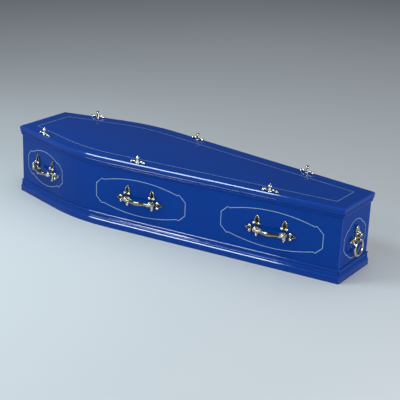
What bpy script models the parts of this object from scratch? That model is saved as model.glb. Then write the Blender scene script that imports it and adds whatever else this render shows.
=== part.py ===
# Coffin with curved shoulders: hollow box, lid, mouldings and metal furniture.
# Metres, +Z up, head at -X and foot at +X, origin on the floor under the middle.
import math

import bmesh
import bpy
from mathutils import Matrix, Vector

# Plan of the lid, which the base moulding repeats
LENGTH = 1.930
HEAD_WIDTH = 0.358
SHOULDER_WIDTH = 0.632
FOOT_WIDTH = 0.297
SHOULDER_FROM_HEAD = 0.509
SHOULDER_RADIUS = 0.93
SHOULDER_STEPS = 6

# Boards
HEIGHT = 0.365
LID_THICK = 0.018
LID_EDGE_ROUND = 0.006
WALL_THICK = 0.016
BASE_THICK = 0.016
OVERHANG = 0.0105

# Base moulding, from the foot up: flat face, nose, bead, cove and cap, placed in from the outline and up
BASE_MOULD_TALL = 0.066
BASE_FACE_TALL = 0.029
BASE_NOSE = 0.0055
BASE_BEAD = 0.0020
BASE_BEAD_AT = (0.0055, 0.0400)
BASE_COVE = 0.0075
BASE_COVE_AT = (0.0140, 0.0550)
BASE_CAP = 0.0032
BASE_CAP_IN = 0.0065

# Lid moulding, from its foot up: step, cove, fillet, bead and neck
LID_MOULD_TALL = 0.030
LID_CLEARANCE = 0.001
LID_STEP = 0.0020
LID_COVE = 0.0065
LID_COVE_AT = (0.0110, 0.0075)
LID_FILLET = 0.0018
LID_FILLET_AT = (0.0060, 0.0120)
LID_QUIRK_AT = (0.0048, 0.0150)
LID_BEAD = 0.0038
LID_BEAD_AT = (0.0044, 0.0215)
LID_NECK_IN = 0.0028

# Lid screws, placed along the coffin from its head or foot end
SCREW_FROM_HEAD = (0.210, 0.855)
SCREW_FROM_FOOT = 0.375
SCREW_FROM_INSIDE = 0.0065
SCREW_SHANK = 0.0025
SCREW_HOLE = 0.0032
SCREW_IN_WALL = 0.030
SCREW_BUD = 0.0086
SCREW_STEM = 0.0042
SCREW_COLLAR = 0.0062
SCREW_COLLAR_TALL = 0.0028
SCREW_TALL = 0.040
SCREW_BUD_UP = 0.0285
SCREW_BUD_TIP = 0.0350
SCREW_POINT = 0.0020
WREATH_HALF = 0.0425
WREATH_TALL = 0.0125
WREATH_HUB = 0.0095
WREATH_HUB_TALL = 0.006
WREATH_ARM = 0.0038

# Handles, placed by length along the side board from its head or foot end
HANDLE_FROM_HEAD = (0.228, 0.885)
HANDLE_FROM_FOOT = 0.3442
HANDLE_PITCH = 0.140
FITTING_Z = 0.176
BAR_STANDOFF = 0.030
BAR_BOW = 0.008
BAR_END = 0.0065
BAR_MIDDLE = 0.010
BAR_STEPS = 6
PLATE_THICK = 0.004
PLATE_RISE = 0.070
PLATE_DROP = 0.038
PLATE_REACH = 0.057
PLATE_BOSS = 0.014
BOSS_TALL = 0.011
PLATE_NECK = 0.0060
TOP_KNOB = (0.030, 0.0130)
SIDE_KNOB = (0.033, 0.0130)
KNOB = 0.0065
RIDGE = 0.0040
LEAF_HALF = 0.0100
CUP_WALL = 0.0025
CUP_DEEP = 0.015
CUP_BACK = 0.005

# Drop rings
RING_RADIUS = 0.038
RING_STANDOFF = 0.023
RING_WIRE_TOP = 0.0045
RING_WIRE_LOW = 0.0070
RING_STEPS = 20
EYE_CLEARANCE = 0.0015
EYE_WALL = 0.0040
EYE_WIDTH = 0.009

GAP = 0.0003
MITRE_GAP = 1.6 * GAP
WELD = 0.00001
SIDES = (("right", -1), ("left", 1))
ENDS = (("head", -1), ("foot", 1))

BLUE = (0.010, 0.045, 0.290, 1.0)
GILT = (0.780, 0.690, 0.480, 1.0)


def clear_scene():
    for obj in list(bpy.data.objects):
        bpy.data.objects.remove(obj, do_unlink=True)


def new_collection(name):
    coll = bpy.data.collections.new(name)
    bpy.context.scene.collection.children.link(coll)
    return coll


def material(name, color, roughness, metallic):
    mat = bpy.data.materials.new(name)
    mat.use_nodes = True
    shader = mat.node_tree.nodes["Principled BSDF"]
    shader.inputs["Base Color"].default_value = color
    shader.inputs["Roughness"].default_value = roughness
    shader.inputs["Metallic"].default_value = metallic
    mat.diffuse_color = color
    return mat


# The plan: both straight runs of a side are tangents of the shoulder's arc, so every inset keeps its centre.
HEAD_POINT = Vector((-LENGTH / 2, HEAD_WIDTH / 2))
SHOULDER_POINT = Vector((SHOULDER_FROM_HEAD - LENGTH / 2, SHOULDER_WIDTH / 2))
FOOT_POINT = Vector((LENGTH / 2, FOOT_WIDTH / 2))
HEAD_RUN = (SHOULDER_POINT - HEAD_POINT).normalized()
FOOT_RUN = (FOOT_POINT - SHOULDER_POINT).normalized()


def outward(run):
    return Vector((-run.y, run.x))


HEAD_ANGLE = math.atan2(outward(HEAD_RUN).y, outward(HEAD_RUN).x)
FOOT_ANGLE = math.atan2(outward(FOOT_RUN).y, outward(FOOT_RUN).x)
HALF_TURN = (HEAD_ANGLE - FOOT_ANGLE) / 2
SHOULDER_BISECTOR = (outward(HEAD_RUN) + outward(FOOT_RUN)).normalized()
SHOULDER_CENTRE = SHOULDER_POINT - SHOULDER_BISECTOR * SHOULDER_RADIUS / math.cos(HALF_TURN)


def corner(inset, end):
    """Corner of the plan, inset from the lid's outline, at the head (-1) or foot (1), on the +Y side."""
    run = FOOT_RUN if end > 0 else HEAD_RUN
    start = SHOULDER_CENTRE + outward(run) * (SHOULDER_RADIUS - inset)
    x = end * (LENGTH / 2 - inset)
    return start + run * (x - start.x) / run.x


def side_line(inset, overrun=0.0):
    """Points of the +Y side from head to foot, inset from the outline, run on past both ends by overrun."""
    ends = []
    for end, run in ((-1, HEAD_RUN), (1, FOOT_RUN)):
        start = SHOULDER_CENTRE + outward(run) * (SHOULDER_RADIUS - inset)
        x = end * (LENGTH / 2 - inset + overrun)
        ends.append(start + run * (x - start.x) / run.x)
    points = [ends[0]]
    for i in range(SHOULDER_STEPS + 1):
        angle = HEAD_ANGLE + (FOOT_ANGLE - HEAD_ANGLE) * i / SHOULDER_STEPS
        points.append(SHOULDER_CENTRE + Vector((math.cos(angle), math.sin(angle))) * (SHOULDER_RADIUS - inset))
    points.append(ends[1])
    return points


def full_plan(inset):
    """Closed plan outline, inset from the lid's outline."""
    left = side_line(inset)
    right = [Vector((p.x, -p.y)) for p in reversed(left)]
    return left + right


def mesh_object(name, mesh, coll, mat):
    obj = bpy.data.objects.new(name, mesh)
    mesh.materials.clear()
    mesh.materials.append(mat)
    coll.objects.link(obj)
    return obj


def closed_curve(name, points):
    data = bpy.data.curves.new(name, "CURVE")
    data.dimensions = "2D"
    spline = data.splines.new("POLY")
    spline.points.add(len(points) - 1)
    for spline_point, p in zip(spline.points, points):
        spline_point.co = (p[0], p[1], 0.0, 1.0)
    spline.use_cyclic_u = True
    return data


def curve_to_mesh(name, data):
    """Evaluates a curve, welds its caps and returns a mesh with outward faces."""
    obj = bpy.data.objects.new(name, data)
    bpy.context.scene.collection.objects.link(obj)
    graph = bpy.context.evaluated_depsgraph_get()
    mesh = bpy.data.meshes.new_from_object(obj.evaluated_get(graph))
    mesh.name = name
    bpy.data.objects.remove(obj, do_unlink=True)
    bm = bmesh.new()
    bm.from_mesh(mesh)
    bmesh.ops.remove_doubles(bm, verts=bm.verts, dist=1e-6)
    bmesh.ops.recalc_face_normals(bm, faces=bm.faces)
    bm.to_mesh(mesh)
    bm.free()
    return mesh


def merge_flat(mesh):
    """Welds what a cut or a join left doubled and merges faces that lie in one plane."""
    bm = bmesh.new()
    bm.from_mesh(mesh)
    bmesh.ops.remove_doubles(bm, verts=bm.verts, dist=WELD)
    bmesh.ops.dissolve_degenerate(bm, edges=bm.edges, dist=WELD)
    bmesh.ops.dissolve_limit(bm, angle_limit=math.radians(0.2), verts=bm.verts, edges=bm.edges)
    bm.to_mesh(mesh)
    bm.free()


def slab_mesh(name, points, z0, z1):
    """A flat outline with a thickness, from z0 to z1."""
    data = closed_curve(name, points)
    data.fill_mode = "BOTH"
    data.extrude = (z1 - z0) / 2
    mesh = curve_to_mesh(name, data)
    mesh.transform(Matrix.Translation((0, 0, (z0 + z1) / 2)))
    merge_flat(mesh)
    return mesh


def mirrored(mesh, name):
    """A copy of a mesh, mirrored to the other side of the coffin."""
    copy = mesh.copy()
    copy.name = name
    copy.transform(Matrix.Scale(-1, 4, (0, 1, 0)))
    copy.flip_normals()
    return copy


def cut_mesh(mesh, point, normal):
    """Cuts away what lies on the normal's side of a plane and closes the cut."""
    bm = bmesh.new()
    bm.from_mesh(mesh)
    geom = bm.verts[:] + bm.edges[:] + bm.faces[:]
    cut = bmesh.ops.bisect_plane(bm, geom=geom, dist=1e-7, plane_co=point, plane_no=normal, clear_outer=True)
    rim = [e for e in cut["geom_cut"] if isinstance(e, bmesh.types.BMEdge)]
    bmesh.ops.holes_fill(bm, edges=rim, sides=0)
    bmesh.ops.triangulate(bm, faces=[f for f in bm.faces if len(f.verts) > 4])
    bmesh.ops.recalc_face_normals(bm, faces=bm.faces)
    bm.to_mesh(mesh)
    bm.free()


def arc(centre, radius, start, stop, steps):
    """Points of a profile's arc, angles in degrees."""
    out = []
    for i in range(steps + 1):
        a = math.radians(start + (stop - start) * i / steps)
        out.append((centre[0] + radius * math.cos(a), centre[1] + radius * math.sin(a)))
    return out


def base_profile():
    """Base moulding section: distance in from the outline and height, from the foot of the outer face up."""
    back = OVERHANG - GAP
    section = [(back, 0.0), (0.0, 0.0), (0.0, BASE_FACE_TALL)]
    section += arc((BASE_NOSE, BASE_FACE_TALL), BASE_NOSE, 180, 100, 3)[1:]
    section += arc(BASE_BEAD_AT, BASE_BEAD, 220, 90, 2)
    section += arc(BASE_COVE_AT, BASE_COVE, 215, 180, 2)
    section += arc((BASE_CAP_IN, BASE_MOULD_TALL - BASE_CAP), BASE_CAP, 200, 90, 3)
    section.append((back, BASE_MOULD_TALL))
    return section


def lid_profile():
    """Lid moulding section: distance in from the outline and height, below the lid board."""
    back = OVERHANG - LID_CLEARANCE
    top = HEIGHT - LID_THICK - GAP
    low = top - LID_MOULD_TALL

    def up(place):
        return (place[0], low + place[1])

    section = [(back, top), (back, low), (back - LID_STEP, low)]
    section += arc(up(LID_COVE_AT), LID_COVE, 250, 190, 2)
    section += arc(up(LID_FILLET_AT), LID_FILLET, 250, 110, 2)
    section.append(up(LID_QUIRK_AT))
    section += arc(up(LID_BEAD_AT), LID_BEAD, 240, 110, 4)
    section.append((LID_NECK_IN, top))
    return section


def swept_mesh(name, section, path):
    """Sweeps a closed section (in from the path, height) along a level path that runs from head to foot on +Y."""
    profile_data = closed_curve(name + "_section", [(p, z) for p, z in section])
    profile = bpy.data.objects.new(name + "_section", profile_data)
    bpy.context.scene.collection.objects.link(profile)
    data = bpy.data.curves.new(name, "CURVE")
    data.dimensions = "2D"
    spline = data.splines.new("POLY")
    spline.points.add(len(path) - 1)
    for spline_point, p in zip(spline.points, path):
        spline_point.co = (p[0], p[1], 0.0, 1.0)
    data.bevel_mode = "OBJECT"
    data.bevel_object = profile
    data.use_fill_caps = True
    mesh = curve_to_mesh(name, data)
    bpy.data.objects.remove(profile, do_unlink=True)
    return mesh


def mitre(mesh, end, keep_side):
    """Cuts a moulding on the mitre line of the +Y corner; keep_side is 1 for the side piece, -1 for the end piece."""
    outer = corner(0.0, end)
    inner = corner(OVERHANG, end)
    along = (inner - outer).normalized()
    normal = Vector((along.y, -along.x, 0.0))
    if (normal.x * end > 0) != (keep_side > 0):
        normal = -normal
    point = Vector((outer.x, outer.y, 0.0)) - normal * GAP / 2
    cut_mesh(mesh, point, normal)


def add_mouldings(coll, mat, label, section):
    overrun = 3 * OVERHANG
    side = swept_mesh(label + "_left", section, side_line(0.0, overrun=overrun))
    for end in (-1, 1):
        mitre(side, end, 1)
    mesh_object(label + "_left", side, coll, mat)
    mesh_object(label + "_right", mirrored(side, label + "_right"), coll, mat)
    for end_name, end in ENDS:
        half = corner(0.0, end).y + overrun
        x = end * LENGTH / 2
        path = [Vector((x, half * end)), Vector((x, -half * end))]
        piece = swept_mesh(label + "_" + end_name, section, path)
        mitre(piece, end, -1)
        piece.transform(Matrix.Scale(-1, 4, (0, 1, 0)))
        piece.flip_normals()
        mitre(piece, end, -1)
        mesh_object(label + "_" + end_name, piece, coll, mat)


def side_place(x, inset):
    """Point on the +Y side line at x, with the run's direction there."""
    line = side_line(inset)
    for a, b in zip(line, line[1:]):
        if x <= b.x or b is line[-1]:
            run = (b - a).normalized()
            return a + run * (x - a.x) / run.x, run


def along_side(length):
    """Point on the side board's outer face, measured from its head end, or back from its foot end if negative."""
    line = side_line(OVERHANG)
    if length < 0:
        length += sum((b - a).length for a, b in zip(line, line[1:]))
    for a, b in zip(line, line[1:]):
        step = (b - a).length
        if length <= step or b is line[-1]:
            run = (b - a).normalized()
            return a + run * length, run
        length -= step


def wall_matrix(point, out, z):
    """Frame of a fitting: x along the wall, y up, z out of the wall, on the wall's face."""
    z_axis = Vector((out.x, out.y, 0.0))
    y_axis = Vector((0.0, 0.0, 1.0))
    x_axis = y_axis.cross(z_axis)
    rotation = Matrix((x_axis, y_axis, z_axis)).transposed().to_4x4()
    place = Vector((point.x, point.y, z)) + z_axis * GAP
    return Matrix.Translation(place) @ rotation


def evaluated_mesh(obj, name):
    graph = bpy.context.evaluated_depsgraph_get()
    mesh = bpy.data.meshes.new_from_object(obj.evaluated_get(graph))
    mesh.name = name
    return mesh


def boolean_mesh(name, first, others, operation):
    """Joins meshes to the first, or cuts them from it."""
    body = bpy.data.objects.new(name, first)
    helpers = [body]
    bpy.context.scene.collection.objects.link(body)
    for other in others:
        helper = bpy.data.objects.new(name + "_tool", other)
        helpers.append(helper)
        bpy.context.scene.collection.objects.link(helper)
        modifier = body.modifiers.new("join", "BOOLEAN")
        modifier.operation = operation
        modifier.solver = "EXACT"
        modifier.object = helper
    mesh = evaluated_mesh(body, name)
    for helper in helpers:
        bpy.data.objects.remove(helper, do_unlink=True)
    return mesh


def join_meshes(name, first, others):
    """Joins meshes one after another into one closed body."""
    mesh = first
    for other in others:
        mesh = boolean_mesh(name, mesh, [other], "UNION")
        merge_flat(mesh)
    return mesh


def bmesh_mesh(name, make, matrix):
    """A mesh made by one bmesh primitive call, moved by a matrix."""
    bm = bmesh.new()
    make(bm)
    bmesh.ops.transform(bm, matrix=matrix, verts=bm.verts)
    mesh = bpy.data.meshes.new(name)
    bm.to_mesh(mesh)
    bm.free()
    return mesh


def rod(start, stop, radius, tip=None, sides=8, turn=0.0):
    """A round rod, or a cone where the tip's radius differs, between two points."""
    a, b = Vector(start), Vector(stop)
    turned = (b - a).to_track_quat("Z", "Y").to_matrix().to_4x4() @ Matrix.Rotation(turn, 4, "Z")
    matrix = Matrix.Translation((a + b) / 2) @ turned
    return bmesh_mesh("rod", lambda bm: bmesh.ops.create_cone(
        bm, cap_ends=True, segments=sides, radius1=radius,
        radius2=radius if tip is None else tip, depth=(b - a).length), matrix)


def drill(start, stop, radius, sides):
    """A cutter for a hole whose flats stay outside the radius."""
    return rod(start, stop, radius / math.cos(math.pi / sides), sides=sides)


def turned_mesh(name, profile, sides):
    """Turns a profile (radius, height), listed top to bottom, about +Z."""
    outline = bpy.data.meshes.new(name + "_profile")
    edges = [(i, i + 1) for i in range(len(profile) - 1)]
    outline.from_pydata([(r, 0.0, z) for r, z in profile], edges, [])
    body = bpy.data.objects.new(name + "_profile", outline)
    bpy.context.scene.collection.objects.link(body)
    screw = body.modifiers.new("turn", "SCREW")
    screw.steps = sides
    screw.render_steps = sides
    screw.use_merge_vertices = True
    screw.merge_threshold = 1e-6
    mesh = evaluated_mesh(body, name)
    bpy.data.objects.remove(body, do_unlink=True)
    return mesh


def tube_mesh(name, points, radii, closed=False, resolution=2):
    """A round tube along points, with its own radius at each."""
    data = bpy.data.curves.new(name, "CURVE")
    data.dimensions = "3D"
    spline = data.splines.new("POLY")
    spline.points.add(len(points) - 1)
    for spline_point, p, r in zip(spline.points, points, radii):
        spline_point.co = (*p, 1.0)
        spline_point.radius = r / radii[0]
    spline.use_cyclic_u = closed
    data.bevel_depth = radii[0]
    data.bevel_resolution = resolution
    data.use_fill_caps = not closed
    return curve_to_mesh(name, data)


def smooth(mesh, angle=35):
    mesh.shade_smooth()
    mesh.set_sharp_from_angle(angle=math.radians(angle))


def screw_places():
    """Screw centres over the side boards, with the run's direction, on the +Y side."""
    inset = OVERHANG + WALL_THICK - SCREW_FROM_INSIDE
    xs = [along - LENGTH / 2 for along in SCREW_FROM_HEAD] + [LENGTH / 2 - SCREW_FROM_FOOT]
    return [side_place(x, inset) for x in xs]


def screw_holes(side_signs, low, high):
    drills = []
    for point, _ in screw_places():
        for sign in side_signs:
            drills.append(drill((point.x, sign * point.y, low), (point.x, sign * point.y, high), SCREW_HOLE, 6))
    return drills


def add_boards(coll, mat):
    wall_top = HEIGHT - LID_THICK - GAP
    inside = OVERHANG + WALL_THICK + GAP
    base = slab_mesh("base_board", full_plan(inside), 0.0, BASE_THICK)
    mesh_object("base_board", base, coll, mat)

    outline = side_line(OVERHANG) + side_line(OVERHANG + WALL_THICK)[::-1]
    plain = slab_mesh("side_board", outline, 0.0, wall_top)
    drills = screw_holes((1,), wall_top - SCREW_IN_WALL - GAP, wall_top + LID_THICK)
    side = boolean_mesh("side_board_left", plain, drills, "DIFFERENCE")
    mesh_object("side_board_left", side, coll, mat)
    mesh_object("side_board_right", mirrored(side, "side_board_right"), coll, mat)

    for end_name, end in ENDS:
        half = [corner(inset, end) - Vector((0, MITRE_GAP)) for inset in (OVERHANG, OVERHANG + WALL_THICK)]
        outline = half + [Vector((p.x, -p.y)) for p in reversed(half)]
        mesh_object(end_name + "_board", slab_mesh(end_name + "_board", outline, 0.0, wall_top), coll, mat)


def add_lid(coll, mat):
    mesh = slab_mesh("lid_board", full_plan(0.0), HEIGHT - LID_THICK, HEIGHT)
    bm = bmesh.new()
    bm.from_mesh(mesh)
    rim = [e for e in bm.edges if all(v.co.z > HEIGHT - GAP for v in e.verts)]
    bmesh.ops.bevel(bm, geom=rim, affect="EDGES", offset=LID_EDGE_ROUND, segments=3, profile=0.5, material=-1)
    bm.to_mesh(mesh)
    bm.free()
    drills = screw_holes((-1, 1), HEIGHT - 2 * LID_THICK, HEIGHT + LID_THICK)
    mesh_object("lid_board", boolean_mesh("lid_board", mesh, drills, "DIFFERENCE"), coll, mat)


def wreath_mesh():
    """Two arched arms with round ends beside a hub that the screw passes through."""
    hub = rod((0, 0, 0), (0, 0, WREATH_HUB_TALL), WREATH_HUB, WREATH_HUB * 0.7, sides=8)
    parts = []
    end = WREATH_HALF - KNOB
    foot = WREATH_ARM * 1.2
    for sign in (-1, 1):
        path = [(sign * x, 0.0, z) for x, z in (
            ((SCREW_COLLAR + WREATH_HUB) / 2, foot), (end * 0.6, WREATH_TALL - WREATH_ARM), (end, foot))]
        parts.append(tube_mesh("arm", path, [WREATH_ARM] * 3, resolution=0))
        parts.append(rod((sign * end, 0, 0), (sign * end, 0, KNOB * 1.2), KNOB, KNOB * 0.6, sides=5))
    mesh = join_meshes("lid_wreath", hub, parts)
    hole = drill((0, 0, -WREATH_TALL), (0, 0, 2 * WREATH_TALL), SCREW_HOLE, 6)
    mesh = boolean_mesh("lid_wreath", mesh, [hole], "DIFFERENCE")
    merge_flat(mesh)
    return mesh


def screw_mesh():
    """Thumb screw: a pointed bud on a stem, a collar on the wreath and a shank down into the side board."""
    seat = WREATH_HUB_TALL + GAP
    collar = seat + SCREW_COLLAR_TALL
    end = -LID_THICK - SCREW_IN_WALL
    profile = [
        (0.0, SCREW_TALL), (SCREW_BUD * 0.55, SCREW_BUD_TIP), (SCREW_BUD, SCREW_BUD_UP),
        (SCREW_BUD * 0.5, SCREW_BUD_UP - SCREW_BUD * 1.3), (SCREW_STEM, collar + SCREW_SHANK / 2),
        (SCREW_COLLAR, collar), (SCREW_COLLAR, seat),
        (SCREW_SHANK, seat), (SCREW_SHANK, end + SCREW_POINT), (0.0, end),
    ]
    return turned_mesh("lid_screw", profile, 8)


def add_screws(coll, mat):
    wreath = wreath_mesh()
    screw = screw_mesh()
    smooth(wreath)
    smooth(screw)
    number = 0
    for side_name, sign in SIDES:
        for point, run in screw_places():
            number += 1
            place = Vector((point.x, sign * point.y, HEIGHT + GAP))
            turn = Matrix.Rotation(sign * math.atan2(run.y, run.x), 4, "Z")
            for label, mesh in (("lid_wreath", wreath), ("lid_screw", screw)):
                obj = mesh_object(f"{label}_{number}", mesh, coll, mat)
                obj.matrix_world = Matrix.Translation(place) @ turn


def arm_outline(reach, knob, leaf):
    """One side of an arm, going out: neck, lobe under a knob, then a leaf to the tip. Pairs along and across."""
    along, across = knob
    length = reach - along
    return [
        (PLATE_NECK, PLATE_NECK), (along - KNOB * 1.3, PLATE_NECK * 0.85), (along - KNOB * 0.5, across + KNOB),
        (along + KNOB * 0.6, across + KNOB * 0.9), (along + length * 0.4, leaf), (reach, 0.0),
    ]


def plate_outline(left_arm, right_arm):
    """Outline of the cruciform plate, anticlockwise from the right arm's tip."""
    side_arm = arm_outline(PLATE_REACH, SIDE_KNOB, LEAF_HALF * 0.7)
    stub = [(PLATE_NECK, PLATE_NECK), (PLATE_BOSS + 0.007, PLATE_NECK * 0.7), (PLATE_BOSS + 0.011, 0.0)]
    arms = [
        side_arm if right_arm else stub,
        arm_outline(PLATE_RISE, TOP_KNOB, LEAF_HALF),
        side_arm if left_arm else stub,
        [(PLATE_NECK, PLATE_NECK), (PLATE_DROP * 0.58, PLATE_NECK * 1.4), (PLATE_DROP, 0.0)],
    ]
    points = []
    for k, side in enumerate(arms):
        turn = Matrix.Rotation(math.radians(90 * k), 2)
        whole = [(u, -v) for u, v in side] + [(u, v) for u, v in reversed(side[:-1])]
        points += [turn @ Vector(p) for p in whole]
    return [p for p, q in zip(points, points[1:] + points[:1]) if (p - q).length > WELD]


def plate_relief(left_arm, right_arm):
    """Boss and leaf ridges of a plate, which start inside it."""
    parts = [rod((0, 0, PLATE_THICK / 4), (0, 0, BOSS_TALL), PLATE_BOSS, PLATE_BOSS * 0.62, sides=7, turn=0.2)]
    ridges = [(1, TOP_KNOB[0], PLATE_RISE, RIDGE * 1.4)]
    if right_arm:
        ridges.append((0, SIDE_KNOB[0], PLATE_REACH, RIDGE))
    if left_arm:
        ridges.append((2, SIDE_KNOB[0], PLATE_REACH, RIDGE))
    ridges.append((3, PLATE_BOSS, PLATE_DROP, RIDGE))
    for direction, start, reach, radius in ridges:
        turn = Matrix.Rotation(math.radians(90 * direction), 3, "Z")
        foot = turn @ Vector((start * 0.85, 0, radius * 1.1))
        tip = turn @ Vector((reach - RIDGE, 0, PLATE_THICK))
        parts.append(rod(foot, tip, radius, PLATE_THICK * 0.4, sides=4, turn=0.1))
    return parts


def plate_mesh(name, left_arm, right_arm, lug):
    """Cruciform plate with leaf ends and round knobs, a boss and a lug."""
    slab = slab_mesh(name, plate_outline(left_arm, right_arm), 0.0, PLATE_THICK)
    return join_meshes(name, slab, plate_relief(left_arm, right_arm) + lug)


def handle_plate_mesh(name):
    """Plate at a handle's +x end: its lug carries a cup that opens towards -x."""
    cup = BAR_END + GAP + CUP_WALL
    lug = [
        rod((0, 0, BOSS_TALL / 2), (0, 0, BAR_STANDOFF), PLATE_BOSS * 0.56, cup * 0.8, sides=6, turn=0.1),
        rod((cup, 0, BAR_STANDOFF), (-CUP_DEEP, 0, BAR_STANDOFF), cup * 0.8, cup, sides=8),
    ]
    joined = plate_mesh(name, False, True, lug)
    bore = drill((-CUP_BACK, 0, BAR_STANDOFF), (-2 * CUP_DEEP, 0, BAR_STANDOFF), BAR_END + GAP, 8)
    mesh = boolean_mesh(name, joined, [bore], "DIFFERENCE")
    merge_flat(mesh)
    return mesh


def bar_mesh():
    """Bowed bar whose straight ends sit in the cups."""
    half = HANDLE_PITCH / 2 - CUP_BACK - GAP
    span = HANDLE_PITCH / 2 - CUP_DEEP - CUP_WALL
    points = []
    radii = []
    for x in [-half] + [span * (2 * i / BAR_STEPS - 1) for i in range(BAR_STEPS + 1)] + [half]:
        swell = (1 + math.cos(math.pi * min(abs(x) / span, 1.0))) / 2
        points.append((x, 0.0, BAR_STANDOFF + BAR_BOW * swell))
        radii.append(BAR_END + (BAR_MIDDLE - BAR_END) * swell)
    return tube_mesh("handle_bar", points, radii, resolution=1)


def add_handles(coll, mat):
    right_end = handle_plate_mesh("handle_plate")
    left_end = right_end.copy()
    left_end.transform(Matrix.Scale(-1, 4, (1, 0, 0)))
    left_end.flip_normals()
    bar = bar_mesh()
    for mesh in (right_end, left_end, bar):
        smooth(mesh)
    for side_name, sign in SIDES:
        for place_name, length in zip(("head", "middle", "foot"), (*HANDLE_FROM_HEAD, -HANDLE_FROM_FOOT)):
            point, run = along_side(length)
            point = Vector((point.x, sign * point.y))
            out = Vector((-run.y, run.x)) if sign > 0 else Vector((-run.y, -run.x))
            frame = wall_matrix(point, out, FITTING_Z)
            label = f"{side_name}_{place_name}"
            for end_name, mesh, shift in (("a", left_end, -1), ("b", right_end, 1)):
                plate = mesh_object(f"handle_plate_{label}_{end_name}", mesh, coll, mat)
                plate.matrix_world = frame @ Matrix.Translation((shift * HANDLE_PITCH / 2, 0, 0))
            grip = mesh_object(f"handle_bar_{label}", bar, coll, mat)
            grip.matrix_world = frame


def ring_plate_mesh():
    """Plate with two equal arms and an eye whose hole lies level, along the wall."""
    bore_radius = RING_WIRE_TOP + EYE_CLEARANCE
    half = EYE_WIDTH / 2
    lug = [
        rod((0, 0, BOSS_TALL / 2), (0, 0, RING_STANDOFF - bore_radius - EYE_WALL / 2),
            PLATE_BOSS * 0.5, half * 0.8, sides=6, turn=0.1),
        rod((-half, 0, RING_STANDOFF), (half, 0, RING_STANDOFF), bore_radius + EYE_WALL, sides=10),
    ]
    joined = plate_mesh("ring_plate", True, True, lug)
    bore = drill((-EYE_WIDTH, 0, RING_STANDOFF), (EYE_WIDTH, 0, RING_STANDOFF), bore_radius, 10)
    mesh = boolean_mesh("ring_plate", joined, [bore], "DIFFERENCE")
    merge_flat(mesh)
    return mesh


def ring_mesh():
    """Drop ring, thicker below, with its origin in the wire at the top, where it turns."""
    points = []
    radii = []
    for i in range(RING_STEPS):
        angle = 2 * math.pi * i / RING_STEPS
        points.append((RING_RADIUS * math.sin(angle), RING_RADIUS * (math.cos(angle) - 1), 0.0))
        radii.append(RING_WIRE_TOP + (RING_WIRE_LOW - RING_WIRE_TOP) * (1 - math.cos(angle)) / 2)
    return tube_mesh("drop_ring", points, radii, closed=True, resolution=1)


def add_rings(coll, mat):
    plate = ring_plate_mesh()
    ring = ring_mesh()
    smooth(plate)
    smooth(ring)
    for end_name, end in ENDS:
        point = Vector((end * (LENGTH / 2 - OVERHANG), 0.0))
        frame = wall_matrix(point, Vector((end, 0.0)), FITTING_Z)
        fixed = mesh_object("ring_plate_" + end_name, plate, coll, mat)
        fixed.matrix_world = frame
        moving = mesh_object("drop_ring_" + end_name, ring, coll, mat)
        moving.matrix_world = frame @ Matrix.Translation((0, 0, RING_STANDOFF))


def main():
    clear_scene()
    coffin = new_collection("coffin")
    paint = material("blue_paint", BLUE, 0.08, 0.0)
    gilt = material("gilt_metal", GILT, 0.22, 1.0)
    add_boards(coffin, paint)
    add_lid(coffin, paint)
    add_mouldings(coffin, paint, "base_moulding", base_profile())
    add_mouldings(coffin, paint, "lid_moulding", lid_profile())
    add_screws(coffin, gilt)
    add_handles(coffin, gilt)
    add_rings(coffin, gilt)


if __name__ == "__main__":
    main()
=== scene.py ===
import math

import bmesh
import bpy
from bpy.props import FloatProperty, FloatVectorProperty, PointerProperty
from mathutils import Matrix, Vector


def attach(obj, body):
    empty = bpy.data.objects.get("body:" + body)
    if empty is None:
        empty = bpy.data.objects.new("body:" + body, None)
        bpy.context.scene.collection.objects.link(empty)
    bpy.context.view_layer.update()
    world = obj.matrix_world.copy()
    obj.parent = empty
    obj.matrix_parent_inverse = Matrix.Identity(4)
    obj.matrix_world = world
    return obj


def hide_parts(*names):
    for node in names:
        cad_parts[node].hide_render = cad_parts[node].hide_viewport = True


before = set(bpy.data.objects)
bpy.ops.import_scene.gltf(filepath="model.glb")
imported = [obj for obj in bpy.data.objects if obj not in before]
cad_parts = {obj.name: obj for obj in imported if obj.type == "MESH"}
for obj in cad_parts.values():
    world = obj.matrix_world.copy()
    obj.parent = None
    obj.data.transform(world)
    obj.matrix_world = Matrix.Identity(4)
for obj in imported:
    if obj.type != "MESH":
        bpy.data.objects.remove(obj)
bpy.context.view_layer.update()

bl_info = {
    "name": "Lacquered Coffin",
    "version": (1, 0, 0),
    "blender": (4, 5, 0),
    "location": "3D View > Sidebar > Coffin",
    "description": "Builds a high-gloss coffin with gold lines, thumb screws, bar handles and drop rings",
    "category": "Add Mesh",
}

COFFIN = "coffin"
GAP = 0.0003
ARRIS = 0.0010
FACET = math.radians(1.2)
PAINTED_HIGHLIGHT_WHITE = (0.95, 0.95, 0.93)
# Each triple scales the metal's colour for a fitting's hollows, its body and its knobs. The hollows are darkened as
# painted shade and the knobs brightened and whitened as a painted highlight. The body's own scale is painted light too:
# lighter for the screws, darker for the bars.
PLATE_SHADE = (1.25, 0.10, 1.80)
BAR_SHADE = (0.80, 0.10, 1.80)
SCREW_SHADE = (1.90, 0.36, 1.80)
RING_SHADE = (1.39, 1.10, 1.70)
SIDES = (("right", -1), ("left", 1))
ENDS = (("head", -1), ("foot", 1))


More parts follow.
